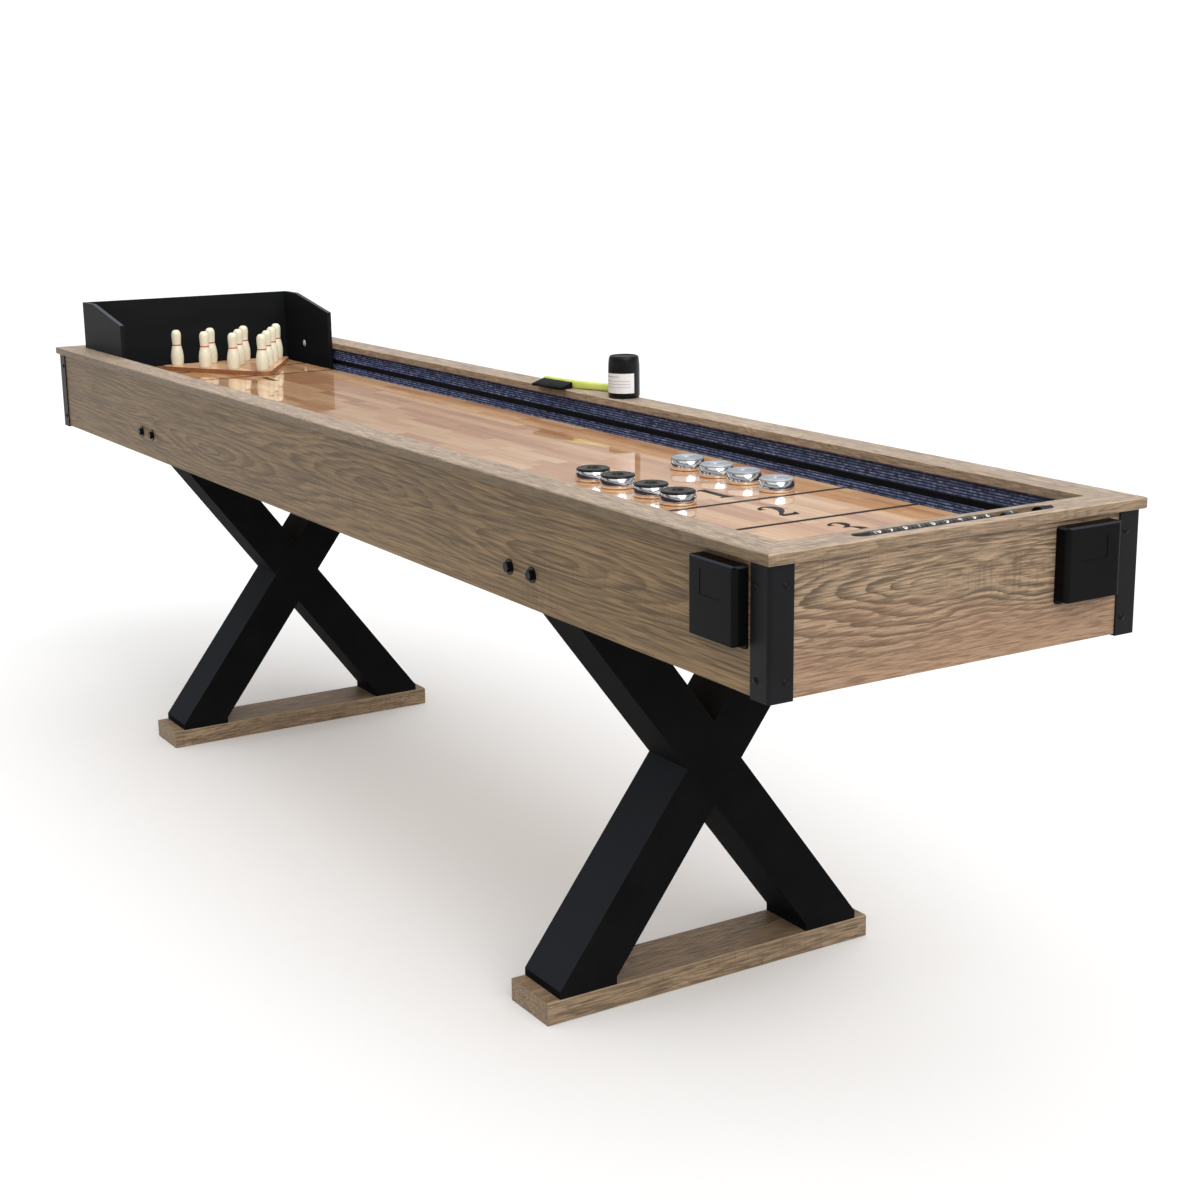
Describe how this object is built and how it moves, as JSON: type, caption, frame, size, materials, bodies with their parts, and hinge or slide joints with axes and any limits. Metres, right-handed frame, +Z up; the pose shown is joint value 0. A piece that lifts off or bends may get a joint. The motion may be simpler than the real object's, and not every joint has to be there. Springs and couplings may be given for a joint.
{
  "type": "shuffleboard table",
  "caption": "Indoor shuffleboard table with a sunken gutter, bead scorer, fold-down cup holders, bowling pins in a backstop, weighted pucks and crossed legs.",
  "frame": {"origin": "on the floor under the middle of the table", "axes": "+X along the length towards the scorer end, -X towards the pin backstop, -Y the near long side with a cup holder, +Z up"},
  "size_m": [2.756, 0.6302, 0.903],
  "materials": {
    "oak_apron": "matt laminate",
    "oak_rail": "matt laminate",
    "plywood": "raw board",
    "black_metal": "satin black",
    "maple_gloss": "high-gloss clear coat",
    "navy_carpet": "ribbed carpet",
    "black_trim": "smooth",
    "black_wood": "satin black laminate",
    "bright_steel": "bright",
    "black_plastic": "satin",
    "maple_board": "clear varnish",
    "lime_plastic": "satin",
    "bead_plastic": "gloss",
    "cream_plastic": "gloss",
    "puck_chrome": "polished"
  },
  "bodies": {
    "table": {"apron_near": "oak_apron", "apron_far": "oak_apron", "apron_scorer_end": "oak_apron", "apron_pin_end": "oak_apron", "rail_near": "oak_rail", "rail_far": "oak_rail", "rail_scorer_end": "oak_rail", "rail_pin_end": "oak_rail", "liner_boards": "plywood", "corner_brackets": "black_metal", "cabinet_screws": "black_metal", "cabinet_floor": "plywood", "playfield_cradles": "plywood", "playfield": "maple_gloss", "gutter_carpet": "navy_carpet", "gutter_band": "black_trim", "leg_beams_a": "black_wood", "leg_beams_b": "black_wood", "leg_top_blocks": "black_wood", "leg_foot_boards": "oak_apron", "leg_bolts": "black_metal", "score_rod": "bright_steel", "score_end_caps": "black_plastic", "near_cup_base": "black_plastic", "end_cup_base": "black_plastic", "backstop_back": "black_wood", "backstop_sides": "black_wood"},
    "score_bead_10": {"score_bead_10": "bead_plastic"},
    "score_bead_9": {"score_bead_9": "bead_plastic"},
    "score_bead_8": {"score_bead_8": "bead_plastic"},
    "score_bead_7": {"score_bead_7": "bead_plastic"},
    "score_bead_6": {"score_bead_6": "bead_plastic"},
    "score_bead_5": {"score_bead_5": "bead_plastic"},
    "score_bead_4": {"score_bead_4": "bead_plastic"},
    "score_bead_3": {"score_bead_3": "bead_plastic"},
    "score_bead_2": {"score_bead_2": "bead_plastic"},
    "score_bead_1": {"score_bead_1": "bead_plastic"},
    "bowling_pin_1": {"bowling_pin_1": "cream_plastic"},
    "bowling_pin_2": {"bowling_pin_2": "cream_plastic"},
    "bowling_pin_3": {"bowling_pin_3": "cream_plastic"},
    "bowling_pin_4": {"bowling_pin_4": "cream_plastic"},
    "bowling_pin_5": {"bowling_pin_5": "cream_plastic"},
    "bowling_pin_6": {"bowling_pin_6": "cream_plastic"},
    "bowling_pin_7": {"bowling_pin_7": "cream_plastic"},
    "bowling_pin_8": {"bowling_pin_8": "cream_plastic"},
    "bowling_pin_9": {"bowling_pin_9": "cream_plastic"},
    "bowling_pin_10": {"bowling_pin_10": "cream_plastic"},
    "black_puck_1": {"black_puck_1": "puck_chrome"},
    "black_puck_2": {"black_puck_2": "puck_chrome"},
    "black_puck_3": {"black_puck_3": "puck_chrome"},
    "black_puck_4": {"black_puck_4": "puck_chrome"},
    "silver_puck_1": {"silver_puck_1": "puck_chrome"},
    "silver_puck_2": {"silver_puck_2": "puck_chrome"},
    "silver_puck_3": {"silver_puck_3": "puck_chrome"},
    "silver_puck_4": {"silver_puck_4": "puck_chrome"},
    "near_cup_tray": {"near_cup_tray": "black_plastic"},
    "end_cup_tray": {"end_cup_tray": "black_plastic"},
    "pin_board": {"pin_board": "maple_board"},
    "wax_can": {"wax_can": "black_plastic"},
    "brush": {"brush": "lime_plastic"}
  },
  "joints": [
    {"name": "score_bead_10_slide", "type": "slide", "parent": "table", "child": "score_bead_10", "axis": [0, 1, 0], "range_m": [0, 0.0022]},
    {"name": "score_bead_9_slide", "type": "slide", "parent": "score_bead_10", "child": "score_bead_9", "axis": [0, 1, 0], "range_m": [0, 0.0022]},
    {"name": "score_bead_8_slide", "type": "slide", "parent": "score_bead_9", "child": "score_bead_8", "axis": [0, 1, 0], "range_m": [0, 0.0022]},
    {"name": "score_bead_7_slide", "type": "slide", "parent": "score_bead_8", "child": "score_bead_7", "axis": [0, 1, 0], "range_m": [0, 0.0022]},
    {"name": "score_bead_6_slide", "type": "slide", "parent": "score_bead_7", "child": "score_bead_6", "axis": [0, 1, 0], "range_m": [0, 0.0022]},
    {"name": "score_bead_5_slide", "type": "slide", "parent": "score_bead_6", "child": "score_bead_5", "axis": [0, 1, 0], "range_m": [0, 0.0022]},
    {"name": "score_bead_4_slide", "type": "slide", "parent": "score_bead_5", "child": "score_bead_4", "axis": [0, 1, 0], "range_m": [0, 0.0022]},
    {"name": "score_bead_3_slide", "type": "slide", "parent": "score_bead_4", "child": "score_bead_3", "axis": [0, 1, 0], "range_m": [0, 0.0022]},
    {"name": "score_bead_2_slide", "type": "slide", "parent": "score_bead_3", "child": "score_bead_2", "axis": [0, 1, 0], "range_m": [0, 0.0022]},
    {"name": "score_bead_1_slide", "type": "slide", "parent": "score_bead_2", "child": "score_bead_1", "axis": [0, 1, 0], "range_m": [-0.018, 0.0165]},
    {"name": "near_cup_fold", "type": "hinge", "parent": "table", "child": "near_cup_tray", "pos_m": [1.275, -0.3025, 0.6845], "axis": [1, 0, 0], "range_deg": [0, 90]},
    {"name": "end_cup_fold", "type": "hinge", "parent": "table", "child": "end_cup_tray", "pos_m": [1.37, 0.2, 0.6845], "axis": [0, 1, 0], "range_deg": [0, 90]},
    {"name": "pin_board_lift", "type": "slide", "parent": "table", "child": "pin_board", "axis": [0, 0, 1], "range_m": [0, 0.155]},
    {"name": "bowling_pin_1_lift", "type": "slide", "parent": "pin_board", "child": "bowling_pin_1", "axis": [0, 0, 1], "range_m": [0, 0.145]},
    {"name": "bowling_pin_2_lift", "type": "slide", "parent": "pin_board", "child": "bowling_pin_2", "axis": [0, 0, 1], "range_m": [0, 0.145]},
    {"name": "bowling_pin_3_lift", "type": "slide", "parent": "pin_board", "child": "bowling_pin_3", "axis": [0, 0, 1], "range_m": [0, 0.145]},
    {"name": "bowling_pin_4_lift", "type": "slide", "parent": "pin_board", "child": "bowling_pin_4", "axis": [0, 0, 1], "range_m": [0, 0.145]},
    {"name": "bowling_pin_5_lift", "type": "slide", "parent": "pin_board", "child": "bowling_pin_5", "axis": [0, 0, 1], "range_m": [0, 0.145]},
    {"name": "bowling_pin_6_lift", "type": "slide", "parent": "pin_board", "child": "bowling_pin_6", "axis": [0, 0, 1], "range_m": [0, 0.145]},
    {"name": "bowling_pin_7_lift", "type": "slide", "parent": "pin_board", "child": "bowling_pin_7", "axis": [0, 0, 1], "range_m": [0, 0.145]},
    {"name": "bowling_pin_8_lift", "type": "slide", "parent": "pin_board", "child": "bowling_pin_8", "axis": [0, 0, 1], "range_m": [0, 0.145]},
    {"name": "bowling_pin_9_lift", "type": "slide", "parent": "pin_board", "child": "bowling_pin_9", "axis": [0, 0, 1], "range_m": [0, 0.145]},
    {"name": "bowling_pin_10_lift", "type": "slide", "parent": "pin_board", "child": "bowling_pin_10", "axis": [0, 0, 1], "range_m": [0, 0.145]},
    {"name": "black_puck_1_shove", "type": "slide", "parent": "table", "child": "black_puck_1", "axis": [-1, 0, 0], "range_m": [0, 1.48]},
    {"name": "black_puck_2_lift", "type": "slide", "parent": "table", "child": "black_puck_2", "axis": [0, 0, 1], "range_m": [0, 0.155]},
    {"name": "black_puck_3_lift", "type": "slide", "parent": "table", "child": "black_puck_3", "axis": [0, 0, 1], "range_m": [0, 0.155]},
    {"name": "black_puck_4_lift", "type": "slide", "parent": "table", "child": "black_puck_4", "axis": [0, 0, 1], "range_m": [0, 0.155]},
    {"name": "silver_puck_1_shove", "type": "slide", "parent": "table", "child": "silver_puck_1", "axis": [-1, 0, 0], "range_m": [0, 1.48]},
    {"name": "silver_puck_2_lift", "type": "slide", "parent": "table", "child": "silver_puck_2", "axis": [0, 0, 1], "range_m": [0, 0.155]},
    {"name": "silver_puck_3_lift", "type": "slide", "parent": "table", "child": "silver_puck_3", "axis": [0, 0, 1], "range_m": [0, 0.155]},
    {"name": "silver_puck_4_lift", "type": "slide", "parent": "table", "child": "silver_puck_4", "axis": [0, 0, 1], "range_m": [0, 0.155]},
    {"name": "wax_can_lift", "type": "slide", "parent": "table", "child": "wax_can", "axis": [0, 0, 1], "range_m": [0, 0.11]},
    {"name": "brush_lift", "type": "slide", "parent": "table", "child": "brush", "axis": [0, 0, 1], "range_m": [0, 0.11]}
  ]
}
